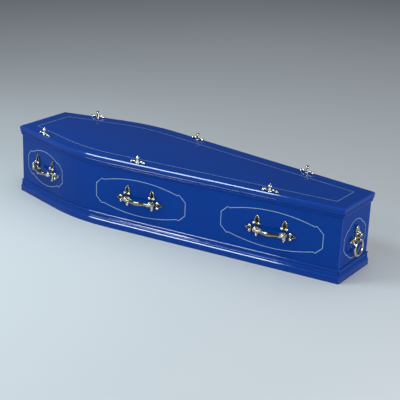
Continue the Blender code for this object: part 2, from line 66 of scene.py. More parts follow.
class CoffinPlan(bpy.types.PropertyGroup):
    """Plan and boards of the coffin"""
    length: FloatProperty(name="Length", description="Length of the lid", default=1.930, unit="LENGTH")
    head_width: FloatProperty(name="Head Width", description="Width of the lid at the head", default=0.358, unit="LENGTH")
    shoulder_width: FloatProperty(
        name="Shoulder Width", description="Width where the straight runs would cross", default=0.632, unit="LENGTH")
    foot_width: FloatProperty(name="Foot Width", description="Width of the lid at the foot", default=0.297, unit="LENGTH")
    shoulder_from_head: FloatProperty(
        name="Shoulder from Head", description="Where the straight runs would cross", default=0.509, unit="LENGTH")
    shoulder_radius: FloatProperty(
        name="Shoulder Radius", description="Radius of the curved shoulder", default=0.93, unit="LENGTH")
    height: FloatProperty(name="Height", description="Floor to the top of the lid", default=0.365, unit="LENGTH")
    lid_thick: FloatProperty(name="Lid Thickness", description="Thickness of the lid board", default=0.018, unit="LENGTH")
    lid_round: FloatProperty(name="Lid Edge", description="Rounding of the lid's top edge", default=0.0045, unit="LENGTH")
    wall: FloatProperty(name="Wall", description="Thickness of the side and end boards", default=0.016, unit="LENGTH")
    overhang: FloatProperty(
        name="Overhang", description="How far the lid and the plinth stand out from the boards", default=0.0105, unit="LENGTH")
    base_tall: FloatProperty(name="Plinth Height", description="Height of the base moulding", default=0.066, unit="LENGTH")
    lid_tall: FloatProperty(name="Lid Moulding", description="Height of the moulding under the lid", default=0.030, unit="LENGTH")


class CoffinFittings(bpy.types.PropertyGroup):
    """Metal furniture of the coffin"""
    height: FloatProperty(name="Fitting Height", description="Floor to the handles' axis", default=0.176, unit="LENGTH")
    pitch: FloatProperty(name="Handle Pitch", description="Between a handle's two plates", default=0.140, unit="LENGTH")
    standoff: FloatProperty(name="Standoff", description="Wall to the bar's axis at its ends", default=0.030, unit="LENGTH")
    bow: FloatProperty(name="Bow", description="How far the bar's middle stands out more", default=0.008, unit="LENGTH")
    bar_end: FloatProperty(name="Bar End", description="Radius of the bar at its ends", default=0.0065, unit="LENGTH")
    bar_middle: FloatProperty(name="Bar Middle", description="Radius of the bar in its middle", default=0.0112, unit="LENGTH")
    plate: FloatProperty(name="Plate", description="Thickness of a plate", default=0.004, unit="LENGTH")
    ring: FloatProperty(name="Ring", description="Radius of a drop ring, to its wire's middle", default=0.038, unit="LENGTH")
    ring_standoff: FloatProperty(
        name="Ring Standoff", description="Wall to the drop ring's axis", default=0.023, unit="LENGTH")
    wire_top: FloatProperty(name="Wire Top", description="Radius of the ring's wire in its eye", default=0.0045, unit="LENGTH")
    wire_low: FloatProperty(name="Wire Low", description="Radius of the ring's wire at its foot", default=0.0070, unit="LENGTH")
    screw_tall: FloatProperty(name="Screw Height", description="Lid to the bud's tip", default=0.040, unit="LENGTH")
    wreath_half: FloatProperty(name="Wreath", description="Half the length of a screw's wreath", default=0.0425, unit="LENGTH")


class CoffinFinish(bpy.types.PropertyGroup):
    """Colours and painted lines"""
    lacquer: FloatVectorProperty(
        name="Lacquer", description="Colour of the lacquer", default=(0.001, 0.037, 0.243), size=3, subtype="COLOR",
        min=0.0, max=1.0)
    line: FloatVectorProperty(
        name="Gold Line", description="Colour of the painted lines", default=(0.39, 0.55, 0.60), size=3, subtype="COLOR",
        min=0.0, max=1.0)
    metal: FloatVectorProperty(
        name="Metal", description="Colour of the plated furniture", default=(0.52, 0.48, 0.37), size=3, subtype="COLOR",
        min=0.0, max=1.0)
    line_width: FloatProperty(name="Line Width", description="Width of a painted line", default=0.0021, unit="LENGTH")
    lid_line_in: FloatProperty(
        name="Lid Line", description="How far the lid's line lies in from its edge", default=0.076, unit="LENGTH")


GROUPS = (("coffin_plan", CoffinPlan), ("coffin_fittings", CoffinFittings), ("coffin_finish", CoffinFinish))


def settings():
    scene = bpy.context.scene
    return scene.coffin_plan, scene.coffin_fittings, scene.coffin_finish


def outward(run):
    return Vector((-run.y, run.x))


class Plan:
    """Plan of the lid's +Y side: two straight runs that are tangents of the shoulder's arc."""

    def __init__(self, sizes):
        self.half = sizes.length / 2
        head = Vector((-self.half, sizes.head_width / 2))
        shoulder = Vector((sizes.shoulder_from_head - self.half, sizes.shoulder_width / 2))
        foot = Vector((self.half, sizes.foot_width / 2))
        self.radius = sizes.shoulder_radius
        self.overhang = sizes.overhang
        self.head_run = (shoulder - head).normalized()
        self.foot_run = (foot - shoulder).normalized()
        self.turn = self.head_run.angle(self.foot_run)
        middle = (outward(self.head_run) + outward(self.foot_run)).normalized()
        self.centre = shoulder - middle * self.radius / math.cos(self.turn / 2)

    def run(self, end):
        return self.foot_run if end > 0 else self.head_run

    def joint(self, end, inset):
        """Where a straight run meets the arc."""
        return self.centre + outward(self.run(end)) * (self.radius - inset)

    def corner(self, end, inset, over=0.0):
        """Where a side line meets an end line, run on by over."""
        start = self.joint(end, inset)
        run = self.run(end)
        return start + run * ((end * (self.half - inset + over) - start.x) / run.x)

    def station(self, point):
        """Length along the side board's face from its head end."""
        straight = (self.joint(-1, self.overhang) - self.corner(-1, self.overhang)).length
        arm = Vector((point[0], abs(point[1]))) - self.centre
        before, after = arm.dot(self.head_run), arm.dot(self.foot_run)
        if before <= 0:
            return straight + before
        if after < 0:
            turned = math.atan2(before, arm.dot(outward(self.head_run)))
            return straight + (self.radius - self.overhang) * turned
        return straight + (self.radius - self.overhang) * self.turn + after

    def place(self, length):
        """Point and direction on the side board's face, from its head end, or from its foot end if negative."""
        end = -1 if length > 0 else 1
        return self.corner(end, self.overhang) + self.run(end) * length, self.run(end)


def arc(centre, radius, start, stop, steps):
    """Points of a section's arc, angles in degrees."""
    turns = [math.radians(start + (stop - start) * i / steps) for i in range(steps + 1)]
    return [(centre[0] + radius * math.cos(t), centre[1] + radius * math.sin(t)) for t in turns]


def plinth_section(sizes):
    """Base moulding: flat face, nose, bead, cove and cap, as distance in from the outline and height."""
    back, top = sizes.overhang - GAP, sizes.base_tall
    return ([(back, 0.0), (0.0004, 0.0), (0.0, 0.0004)] + arc((0.0022, 0.0280), 0.0022, 180, 135, 4)
            + arc((0.0054, 0.0312), 0.0022, 135, 92, 4)
            + arc((0.0053, 0.0397), 0.0018, 230, 135, 6) + arc((0.0058, 0.0402), 0.0018, 135, 85, 4)
            + [(0.0072, 0.0425), (0.0078, 0.0440)]
            + arc((0.0142, 0.0545), 0.0072, 240, 182, 8) + [(0.0046, 0.0588)]
            + arc((0.0064, top - 0.0041), 0.0030, 210, 135, 6) + arc((0.0075, top - 0.0030), 0.0030, 135, 90, 4)
            + [(back, top)])


def lid_section(sizes):
    """Moulding under the lid: cove, fillet, bead and neck, as distance in from the outline and height."""
    back, top = sizes.overhang - GAP, sizes.height - sizes.lid_thick - GAP
    low = top - sizes.lid_tall
    return ([(back, top), (back, low), (back - 0.0020, low)] + arc((0.0110, low + 0.0075), 0.0065, 250, 185, 8)
            + arc((0.0060, low + 0.0120), 0.0018, 250, 100, 8) + [(0.0048, low + 0.0150)]
            + arc((0.0044, low + 0.0215), 0.0038, 240, 105, 10) + [(0.0028, low + 0.0265), (0.0028, top)])


def extrude(bm, faces, vector):
    """Extrudes faces by a vector and returns the new end."""
    grown = bmesh.ops.extrude_face_region(bm, geom=faces)["geom"]
    bmesh.ops.translate(bm, verts=[v for v in grown if isinstance(v, bmesh.types.BMVert)], vec=vector)
    return [f for f in grown if isinstance(f, bmesh.types.BMFace)]


def sweep_side(plan, section, over):
    """A section run along the +Y side from head to foot, past both corners by over."""
    bm = bmesh.new()
    out = outward(plan.head_run)
    straight = (plan.joint(-1, 0.0) - plan.corner(-1, 0.0, over)).length
    foot = plan.centre - plan.head_run * straight
    points = [foot + out * (plan.radius - inset) for inset, _ in section]
    end = [bm.faces.new([bm.verts.new((p.x, p.y, z)) for p, (_, z) in zip(points, section)])]
    end = extrude(bm, end, (plan.head_run * straight).to_3d())
    spun = bmesh.ops.spin(
        bm, geom=end, cent=plan.centre.to_3d(), axis=(0, 0, 1), angle=-plan.turn, steps=round(plan.turn / FACET))
    end = [f for f in spun["geom_last"] if isinstance(f, bmesh.types.BMFace)]
    straight = (plan.joint(1, 0.0) - plan.corner(1, 0.0, over)).length
    extrude(bm, end, (plan.foot_run * straight).to_3d())
    return bm


def sweep_end(plan, section, end, over):
    """A section run across an end of the coffin, past both corners by over."""
    bm = bmesh.new()
    half = plan.corner(end, 0.0).y + over
    verts = [bm.verts.new((end * (plan.half - inset), -half, z)) for inset, z in section]
    extrude(bm, [bm.faces.new(verts)], (0.0, 2 * half, 0.0))
    return bm


def cut(bm, point, normal):
    """Cuts away what lies on the normal's side of a plane and closes the cut."""
    made = bmesh.ops.bisect_plane(
        bm, geom=bm.verts[:] + bm.edges[:] + bm.faces[:], dist=1e-7, plane_co=point, plane_no=normal, clear_outer=True)
    rim = [e for e in made["geom_cut"] if isinstance(e, bmesh.types.BMEdge)]
    bmesh.ops.holes_fill(bm, edges=rim, sides=0)


def mitre(bm, plan, end, side, keep):
    """Cuts a piece on the mitre of one corner; keep is 1 for the side's piece and -1 for the end's."""
    outer, inner = plan.corner(end, 0.0), plan.corner(end, plan.overhang)
    along = (inner - outer).normalized()
    normal = Vector((along.y, -along.x * side, 0.0))
    if (normal.x * end > 0) != (keep > 0):
        normal = -normal
    cut(bm, Vector((outer.x, outer.y * side, 0.0)) - normal * GAP / 6, normal)


def ease(bm, plan, end, side, inset):
    """Takes off a piece's upright arris at one corner and gives the flat that it leaves the arris lacquer, glossier and
    lightened as a painted highlight.
    """
    out = (outward(plan.run(end)) + Vector((end, 0.0))).normalized()
    point = plan.corner(end, inset) - out * ARRIS
    normal = Vector((out.x, out.y * side, 0.0))
    cut(bm, Vector((point.x, point.y * side, 0.0)), normal)
    bmesh.ops.recalc_face_normals(bm, faces=bm.faces)
    for face in bm.faces:
        if face.normal.dot(normal) > 0.999:
            face.material_index = 1


def finish(bm, name, material, body=COFFIN, angle=35.0, nodes=None):
    """Makes a finished piece of a mesh: faces outward, smooth, riding on its body in place of its CAD nodes."""
    bmesh.ops.recalc_face_normals(bm, faces=bm.faces)
    mesh = bpy.data.meshes.new(name)
    bm.to_mesh(mesh)
    bm.free()
    mesh.shade_smooth()
    mesh.set_sharp_from_angle(angle=math.radians(angle))
    for skin in material if isinstance(material, (list, tuple)) else [material]:
        mesh.materials.append(skin)
    piece = bpy.data.objects.new(name, mesh)
    bpy.context.scene.collection.objects.link(piece)
    even = piece.modifiers.new("Even shading", "WEIGHTED_NORMAL")
    even.keep_sharp = True
    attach(piece, body)
    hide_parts(*(nodes or [name.removesuffix("_look")]))
    return piece


def mirror_y(bm):
    bmesh.ops.scale(bm, vec=(1, -1, 1), verts=bm.verts)


# Materials

class Wire:
    """An output socket of a material's nodes. Arithmetic on it adds Math nodes."""

    def __init__(self, tree, socket=None):
        self.tree = tree
        self.socket = socket

    def node(self, kind, setup=None, inputs=None, output=0):
        """Adds any node: its settings first, then the values or wires of its sockets."""
        node = self.tree.nodes.new(kind)
        for key, value in (setup or {}).items():
            if key == "stops":
                ramp = node.color_ramp.elements
                for i, (at, color) in enumerate(value):
                    stop = ramp[i] if i < 2 else ramp.new(at)
                    stop.position, stop.color = at, (*color, 1.0)
            else:
                setattr(node, key, value)
        for key, value in (inputs or {}).items():
            if isinstance(value, Wire):
                self.tree.links.new(value.socket, node.inputs[key])
            else:
                node.inputs[key].default_value = value
        return Wire(self.tree, node.outputs[output])

    def math(self, operation, *values, clamp=False):
        return self.node("ShaderNodeMath", {"operation": operation, "use_clamp": clamp}, dict(enumerate(values)))

    def __add__(self, other):
        return self.math("ADD", self, other)

    __radd__ = __add__

    def __sub__(self, other):
        return self.math("SUBTRACT", self, other)

    def __rsub__(self, other):
        return self.math("SUBTRACT", other, self)

    def __mul__(self, other):
        return self.math("MULTIPLY", self, other)

    __rmul__ = __mul__

    def __truediv__(self, other):
        return self.math("DIVIDE", self, other)

    def __abs__(self):
        return self.math("ABSOLUTE", self)

    def power(self, other):
        return self.math("POWER", self, other)

    def least(self, other):
        return self.math("MINIMUM", self, other)

    def most(self, other):
        return self.math("MAXIMUM", self, other)

    def clamped(self):
        return self.math("ADD", self, 0.0, clamp=True)

    def above(self, other):
        return self.math("GREATER_THAN", self, other)


def start_material(name):
    """A new material, with a wire to build on and its Principled shader."""
    material = bpy.data.materials.new(name)
    material.use_nodes = True
    return material, Wire(material.node_tree), material.node_tree.nodes["Principled BSDF"]


def put(material, shader, **wires):
    """Joins wires to the Principled shader's sockets, written with underscores for spaces."""
    for key, wire in wires.items():
        material.node_tree.links.new(wire.socket, shader.inputs[key.replace("_", " ")])


def noise(wire, place, scale, detail=2.0, rough=0.5):
    return wire.node("ShaderNodeTexNoise", None, {
        "Vector": place, "Scale": scale, "Detail": detail, "Roughness": rough})


def blend(wire, factor, first, second):
    """Mixes two colours, given as tuples or wires."""
    def full(color):
        return color if isinstance(color, Wire) else (*color, 1.0)
    return wire.node("ShaderNodeMix", {"data_type": "RGBA"}, {0: factor, 6: full(first), 7: full(second)}, output=2)


def object_place(wire):
    return wire.node("ShaderNodeTexCoord", output="Object")


def split(wire, vector):
    return [wire.node("ShaderNodeSeparateXYZ", None, {0: vector}, output=i) for i in range(3)]


def segment(x, y, start, stop):
    """Distance from a straight stretch between two places, for a pattern on two coordinates."""
    run = (stop[0] - start[0], stop[1] - start[1])
    square = run[0] ** 2 + run[1] ** 2
    dx, dy = x - start[0], y - start[1]
    along = ((dx * run[0] + dy * run[1]) * (1 / square)).clamped()
    off_x, off_y = dx - along * run[0], dy - along * run[1]
    return (off_x * off_x + off_y * off_y).power(0.5)


def painted_panel(u, v, centre, half_width, stretch, corner, notch, rise):
    """Distance from a painted panel's line: upright ends, cut corners with a small notch, and bowed edges."""
    x, y = abs(u - centre[0]), abs(v - centre[1])
    turn = (half_width - corner[0], corner[1])
    foot = (half_width - notch[0], notch[1])
    bow = rise - notch[1]
    radius = (foot[0] ** 2 + bow ** 2) / (2 * bow)
    far = segment(x, y, (half_width, 0.0), (half_width, stretch))
    far = far.least(segment(x, y, (half_width, stretch), turn)).least(segment(x, y, turn, foot))
    down = y - (rise - radius)
    curve = abs((x * x + down * down).power(0.5) - radius)
    return far.least(curve + x.above(foot[0]) + (0.0 - down).above(0.0))


def side_lines(wire):
    """Distance from the three painted panels of a side board, on its own map of metres."""
    u, v, _ = split(wire, wire.node("ShaderNodeUVMap", {"uv_map": "wall"}))
    nearest = None
    for centre, half_width in ((0.219, 0.1625), (0.883, 0.2535), (1.588, 0.2585)):
        line = painted_panel(u, v, (centre, 0.186), half_width, 0.034, (0.033, 0.065), (0.046, 0.0615), 0.091)
        nearest = nearest.least(line) if nearest else line
    return nearest


def end_lines(wire):
    """Distance from the painted oval of an end board."""
    _, y, z = split(wire, object_place(wire))
    return painted_panel(y, z, (0.0, 0.178), 0.106, 0.028, (0.026, 0.057), (0.040, 0.062), 0.094)


def lid_lines(wire):
    """Distance from the line painted round the lid."""
    sizes, _, finish_sizes = settings()
    plan = Plan(sizes)
    x, y, _ = split(wire, object_place(wire))
    dx, dy = x - plan.centre.x, abs(y) - plan.centre.y

    def along(run):
        return dx * run.x + dy * run.y

    before, after = along(plan.head_run), along(plan.foot_run)
    flat = along(outward(plan.head_run)).most(along(outward(plan.foot_run)))
    radial = (dx * dx + dy * dy).power(0.5)
    on_arc = before.above(0.0) * (0.0 - after).above(0.0)
    reach = flat + (radial - flat) * on_arc
    painted_highlight_gain = (plan.radius - reach).least(plan.half - abs(x))
    return abs(painted_highlight_gain - finish_sizes.lid_line_in)


def lacquer(name, lines=None, line_share=1.0, gloss=1.30, coat=0.0, roughness=0.035, painted_highlight_gain=1.0):
    """High-gloss lacquer over board, with a faint orange peel and polish marks, and painted gold lines."""
    _, _, finish_sizes = settings()
    material, wire, shader = start_material(name)
    place = object_place(wire)
    # A factor above 1 here lightens the lacquer's colour as a painted highlight; only the arris lacquer uses it.
    base = Vector(finish_sizes.lacquer) * painted_highlight_gain
    cloud = noise(wire, place, 2.3, 3.0)
    color = blend(wire, cloud, tuple(base * 0.86), tuple(base * 1.12))
    rough = noise(wire, place, 9.0, 4.0) * 0.03 + roughness
    peel = noise(wire, place, 260.0, 1.0)
    height = peel * 0.5 + noise(wire, place, 38.0, 1.0)
    metallic = None
    if lines:
        half = finish_sizes.line_width / 2 * line_share
        wobble = noise(wire, place, 90.0, 1.0) * (half * 0.3)
        mask = ((half * 1.15 - lines(wire) + wobble) / (half * 0.35)).clamped()
        brush = noise(wire, place, 120.0, 2.0)
        gold = Vector(finish_sizes.line)
        color = blend(wire, mask, color, blend(wire, brush, tuple(gold * 0.75), tuple(gold * 1.15)))
        rough = rough + mask * 0.22
        metallic = mask * 0.20
        height = height + mask * 1.2
    bump = wire.node("ShaderNodeBump", None, {"Strength": 0.035, "Distance": 0.001, "Height": height})
    put(material, shader, Base_Color=color, Roughness=rough, Normal=bump)
    if metallic:
        put(material, shader, Metallic=metallic)
    shader.inputs["IOR"].default_value = gloss
    shader.inputs["Coat Weight"].default_value = coat
    shader.inputs["Coat Roughness"].default_value = roughness
    material.diffuse_color = (*base, 1.0)
    return material


def plated(name, shade=1.0, roughness=0.13):
    """Polished pale gold plate, with soft tarnish clouds, fine cast grain and fingered patches."""
    _, _, finish_sizes = settings()
    material, wire, shader = start_material(name)
    place = object_place(wire)
    # Copies scaled above 1.4 are whitened as a painted highlight, and scales below 1 darken the metal as painted shade.
    metal = (Vector(finish_sizes.metal) * shade).lerp(Vector(PAINTED_HIGHLIGHT_WHITE), max(0.0, shade - 1.4))
    cloud = noise(wire, place, 34.0, 3.0, 0.6)
    warm = (metal.x * 0.88, metal.y * 0.82, metal.z * 0.64)
    color = blend(wire, ((cloud - 0.45) * 1.6).clamped(), tuple(metal), warm)
    rough = noise(wire, place, 70.0, 3.0) * 0.08 + roughness - 0.04
    grain = noise(wire, place, 900.0, 2.0)
    bump = wire.node("ShaderNodeBump", None, {"Strength": 0.03, "Distance": 0.0006, "Height": grain})
    put(material, shader, Base_Color=color, Roughness=rough, Normal=bump)
    shader.inputs["Metallic"].default_value = 1.0
    material.diffuse_color = (*metal, 1.0)
    return material


def shared(name, make, *arguments):
    """The named material, made once."""
    return bpy.data.materials.get(name) or make(name, *arguments)


def blue(lines=None):
    names = {None: "Blue lacquer", side_lines: "Blue lacquer with panels", end_lines: "Blue lacquer with oval",
             lid_lines: "Blue lacquer with border"}
    gloss = {side_lines: 1.20, end_lines: 1.14}.get(lines, 1.30)
    return shared(names[lines], lacquer, lines, 0.88 if lines is lid_lines else 1.0, gloss)


def blues(lines=None):
    """The lacquer of a piece, and the glossier lacquer of its arrises, lightened as a painted highlight."""
    return blue(lines), shared("Blue lacquer arris painted highlight", lacquer, None, 1.0, 1.50, 1.0, 0.07, 1.45)


def polish_with_painted_highlight(bm, lowest, highest):
    """Gives the faces that slope upwards the arris lacquer: glossier, and lightened as a painted highlight."""
    bm.normal_update()
    for face in bm.faces:
        if lowest < face.normal.z < highest:
            face.material_index = 1


def metals(shade):
    """Plated metal in three copies: darkened in its hollows as painted shade, its body's tone, and brightened on its
    knobs as a painted highlight.
    """
    return [shared(f"Pale gold {share:.2f}", plated, share, 0.34 if share < 0.5 else 0.12) for share in shade]


# Turned and cast shapes, made in a fitting's own frame: x along the wall, y up, z out of it

def turned(bm, profile, matrix=Matrix(), steps=24):
    """Turns a profile of (radius, height) about the frame's z axis."""
    before = set(bm.verts)
    line = [bm.verts.new((r, 0.0, z)) for r, z in profile]
    edges = [bm.edges.new(pair) for pair in zip(line, line[1:])]
    bmesh.ops.spin(bm, geom=line + edges, cent=(0, 0, 0), axis=(0, 0, 1), angle=math.tau, steps=steps, use_merge=True)
    made = [v for v in bm.verts if v not in before]
    bmesh.ops.remove_doubles(bm, verts=made, dist=1e-6)
    made = [v for v in bm.verts if v not in before]
    bmesh.ops.transform(bm, matrix=matrix, verts=made)
    return made


def ball(bm, place, radii, around=20, rings=12):
    """A knob, in the brightened metal of a painted highlight."""
    matrix = Matrix.Translation(place) @ Matrix.Diagonal((*radii, 1.0))
    verts = bmesh.ops.create_uvsphere(bm, u_segments=around, v_segments=rings, radius=1.0, matrix=matrix)["verts"]
    # Material 2 is the brightened, whitened metal: painted highlight.
    for face in {f for v in verts for f in v.link_faces}:
        face.material_index = 2


def leaf(bm, matrix, length, width, thick, rim=0.0, hollow=0.0, skin=0):
    """A pointed leaf along x from the frame's origin, with a rounded rim round a hollow that is painted dark as shade
    if it has a rim.
    """
    before = set(bm.verts)
    verts = bmesh.ops.create_circle(bm, cap_ends=True, segments=36, radius=1.0)["verts"]
    for v in verts:
        along = (1 + v.co.x) / 2
        v.co.y *= width * (1 - along) ** 0.25
        v.co.x = along * length
    top = extrude(bm, [verts[0].link_faces[0]], (0, 0, thick))
    if rim:
        bmesh.ops.inset_region(bm, faces=top, thickness=rim, use_even_offset=True)
        bmesh.ops.inset_region(bm, faces=top, thickness=rim * 0.2, use_even_offset=True)
        bmesh.ops.translate(bm, verts=top[0].verts, vec=(0, 0, -hollow))
        # The hollow's faces take the darkened metal: painted shade.
        painted_shade_faces = {f for v in top[0].verts for f in v.link_faces}
        for f in painted_shade_faces:
            f.material_index = 1
        lips = [e for e in bm.edges if not before.issuperset(e.verts) and e.calc_face_angle(0.0) > 0.6
                and all(abs(v.co.z - thick) < 1e-6 for v in e.verts)]
        bmesh.ops.bevel(bm, geom=lips, affect="EDGES", offset=rim * 0.4, segments=3, profile=0.5, material=0)
    made = [v for v in bm.verts if v not in before]
    # A skin of 1 darkens the whole leaf as painted shade.
    for f in {f for v in made for f in v.link_faces if skin}:
        f.material_index = skin
    bmesh.ops.transform(bm, matrix=matrix, verts=made)


def tube(bm, points, radii, steps=16, closed=False):
    """A round bar through points, with its own radius at each."""
    loops = []
    count = len(points)
    for i, (point, radius) in enumerate(zip(points, radii)):
        before = points[i - 1] if closed or i else points[0]
        after = points[(i + 1) % count] if closed or i + 1 < count else points[-1]
        run = (Vector(after) - Vector(before)).normalized()
        matrix = Matrix.Translation(point) @ run.to_track_quat("Z", "Y").to_matrix().to_4x4()
        verts = bmesh.ops.create_circle(bm, segments=steps, radius=radius, matrix=matrix)["verts"]
        loops.append(list({e for v in verts for e in v.link_edges}))
    pairs = list(zip(loops, loops[1:] + loops[:1])) if closed else list(zip(loops, loops[1:]))
    for first, second in pairs:
        bmesh.ops.bridge_loops(bm, edges=first + second)
    if not closed:
        for rim in (loops[0], loops[-1]):
            bmesh.ops.holes_fill(bm, edges=rim, sides=0)


def quarter(k):
    return Matrix.Rotation(math.radians(90 * k), 4, "Z")


def arm(bm, direction, reach, knob, leaf_width, thick, crown):
    """An arm of a plate: neck, two round knobs beside it and a hollowed leaf out to the tip."""
    turn = quarter(direction)
    along, across = knob
    leaf(bm, turn @ Matrix.Translation((along - 0.006, 0, 0)), reach - along + 0.006, leaf_width, thick + crown, 0.0028, 0.0081 - crown)
    neck = turn @ Matrix.Translation((0.004, 0, 0))
    # The neck and the limbs take the darkened metal: painted shade between the knobs.
    leaf(bm, neck, along + 0.006, 0.0080, thick + 0.0010, skin=1)
    for side in (-1, 1):
        limb = turn @ Matrix.Translation((along - 0.006, 0, 0)) @ Matrix.Rotation(side * math.radians(72), 4, "Z")
        leaf(bm, limb, across + 0.004, 0.0048, thick, skin=1)
        ball(bm, turn @ Vector((along, side * across, crown + 0.0080)), (0.0072, 0.0072, 0.0068))
        ball(bm, turn @ Vector((along, side * across, crown + 0.0020)), (0.0042, 0.0042, 0.0045), 12, 8)


def plate(bm, arms, reach=0.057, crown=0.0025, spread=1.0):
    """A cast cross plate: arms to the given quarters, a pointed drop below, and a domed boss."""
    _, fittings, _ = settings()
    thick = fittings.plate
    for direction in range(3):
        if direction in arms:
            rising = direction == 1
            arm(bm, direction, 0.070 if rising else reach, (0.031, 0.0125) if rising else (0.033, 0.0130),
                (0.0142 if rising else 0.0105) * spread, thick, crown)
        else:
            leaf(bm, quarter(direction), 0.025, 0.0070, thick + 0.0010)
    leaf(bm, quarter(3) @ Matrix.Translation((0.010, 0, 0)), 0.026, 0.0085, thick + 0.0008)
    drop = quarter(3) @ Matrix.Translation((0.0300, 0, 0.0062))
    ball(bm, drop.translation, (0.0055, 0.0080, 0.0055))
    turned(bm, [(0.0, 0.0005), (0.0138, 0.0005), (0.0140, 0.0040), (0.0128, 0.0062), (0.0105, 0.0070),
                (0.0100, 0.0085), (0.0088, 0.0105), (0.0, 0.0118)])


def handle_plate():
    """Plate at a bar's +x end, with a lug whose cup opens towards -x."""
    _, fittings, _ = settings()
    bm = bmesh.new()
    plate(bm, (0, 1))
    out = fittings.standoff
    turned(bm, [(0.0, 0.008), (0.0085, 0.008), (0.0066, 0.013), (0.0060, 0.018), (0.0072, 0.023), (0.0, 0.030)])
    cup = Matrix.Translation((0.0, 0.0, out)) @ Matrix.Rotation(math.radians(-90), 4, "Y")
    turned(bm, [
        (0.0, -0.0105), (0.0034, -0.0098), (0.0058, -0.0075), (0.0066, -0.0040), (0.0056, -0.0012), (0.0078, 0.0010),
        (0.0086, 0.0035), (0.0078, 0.0060), (0.0082, 0.0085), (0.0094, 0.0110), (0.0094, 0.0140), (0.0084, 0.0150),
        (0.0068, 0.0150), (0.0068, 0.0050), (0.0, 0.0050)], cup)
    ball(bm, (0.0, 0.0085, out), (0.0080, 0.0074, 0.0080))
    ball(bm, (0.0, 0.0165, out + 0.001), (0.0034, 0.0034, 0.0034), 14, 8)
    return bm


def bar():
    """Bowed grip, thicker in its middle, with turned rings at both ends."""
    _, fittings, _ = settings()
    bm = bmesh.new()
    half = fittings.pitch / 2 - 0.0053
    span = fittings.pitch / 2 - 0.0175
    steps = 40
    points, radii = [], []
    for i in range(-2, steps + 3):
        x = max(-half, min(half, span * (2 * i / steps - 1)))
        if abs(x) > span:
            x = math.copysign(half if i in (-2, steps + 2) else (half + span) / 2, x)
        swell = (1 + math.cos(math.pi * min(abs(x) / span, 1.0))) / 2
        ring = 0.0010 * math.exp(-((abs(x) / span - 0.93) / 0.028) ** 2)
        points.append((x, 0.0, fittings.standoff + fittings.bow * swell))
        radii.append(fittings.bar_end + (fittings.bar_middle - fittings.bar_end) * swell ** 0.8 + ring)
    tube(bm, points, radii, 24)
    return bm


def ring_plate():
    """End plate with two equal arms and an eye for the ring."""
    _, fittings, _ = settings()
    bm = bmesh.new()
    plate(bm, (0, 1, 2), 0.060, 0.0065, 1.25)
    bore = fittings.wire_top + 0.0015
    out = fittings.ring_standoff
    turned(bm, [(0.0, 0.008), (0.0086, 0.008), (0.0070, 0.0110), (0.0056, out - bore - 0.0022), (0.0, out - bore - 0.0018)])
    around = Matrix.Translation((0.0, 0.0, out)) @ Matrix.Rotation(math.radians(90), 4, "Y")
    half = 0.0045
    turned(bm, [(bore, -half + 0.0008), (bore + 0.0008, -half), (bore + 0.0032, -half), (bore + 0.0040, -half + 0.0010),
                (bore + 0.0040, half - 0.0010), (bore + 0.0032, half), (bore + 0.0008, half), (bore, half - 0.0008),
                (bore, -half + 0.0008)], around, 32)
    return bm


def drop_ring():
    """Round ring, thicker below, hanging from its wire's middle at the frame's origin."""
    _, fittings, _ = settings()
    bm = bmesh.new()
    points, radii = [], []
    for i in range(64):
        angle = math.tau * i / 64
        points.append((fittings.ring * math.sin(angle), fittings.ring * (math.cos(angle) - 1), 0.0))
        radii.append(fittings.wire_top + (fittings.wire_low - fittings.wire_top) * (1 - math.cos(angle)) / 2)
    tube(bm, points, radii, 18, closed=True)
    return bm


def wreath():
    """Two arched arms with round ends, beside a hub on the lid."""
    _, fittings, _ = settings()
    bm = bmesh.new()
    turned(bm, [(0.0032, 0.0), (0.0094, 0.0), (0.0095, 0.0014), (0.0088, 0.0030), (0.0078, 0.0046), (0.0070, 0.0060),
                (0.0032, 0.0060), (0.0032, 0.0)])
    end = fittings.wreath_half - 0.0084
    for side in (-1, 1):
        points, radii = [], []
        for i in range(15):
            t = i / 14
            x = 0.0085 + (end - 0.0085) * t
            points.append((side * x, 0.0, 0.0040 + 0.0048 * math.sin(math.pi * t) ** 0.8))
            radii.append(0.0037 + 0.0009 * math.sin(math.pi * t))
        tube(bm, points, radii, 14)
        ball(bm, (side * end, 0.0, 0.0064), (0.0072, 0.0070, 0.0063))
        ball(bm, (side * (end + 0.0056), 0.0, 0.0034), (0.0028, 0.0028, 0.0032), 14, 8)
        for across in (-1, 1):
            ball(bm, (side * (end - 0.0012), across * 0.0066, 0.0042), (0.0042, 0.0042, 0.0041), 16, 10)
    return bm


def thumb_screw():
    """Pointed bud on a stem and collar, with its shank down through the lid into the side board."""
    sizes, fittings, _ = settings()
    bm = bmesh.new()
    end = -sizes.lid_thick - 0.030
    tip = fittings.screw_tall
    turned(bm, [
        (0.0, tip), (0.0010, tip - 0.0007), (0.0024, tip - 0.0028), (0.0050, tip - 0.0052), (0.0082, tip - 0.0078),
        (0.0101, tip - 0.0102), (0.0105, tip - 0.0124), (0.0098, tip - 0.0146), (0.0079, tip - 0.0168), (0.0063, tip - 0.0184),
        (0.0053, tip - 0.0196), (0.0068, tip - 0.0206), (0.0069, tip - 0.0218), (0.0055, tip - 0.0230), (0.0058, 0.0104),
        (0.0060, 0.0092), (0.0062, 0.0068), (0.0056, 0.0063), (0.0025, 0.0063), (0.0025, end + 0.002), (0.0, end)], steps=32)
    return bm


def wall_frame(point, out, height):
    """Frame of a fitting on a wall: x along it, y up, z out of it."""
    z_axis = Vector((out.x, out.y, 0.0))
    y_axis = Vector((0.0, 0.0, 1.0))
    rotation = Matrix((y_axis.cross(z_axis), y_axis, z_axis)).transposed().to_4x4()
    return Matrix.Translation(Vector((point.x, point.y, height)) + z_axis * GAP) @ rotation


def place_copy(master, matrix, name, body=COFFIN, shade=PLATE_SHADE):
    """A finished metal piece from a master shape, put in its place."""
    bm = master.copy()
    bmesh.ops.transform(bm, matrix=matrix, verts=bm.verts)
    return finish(bm, name + "_look", metals(shade), body)


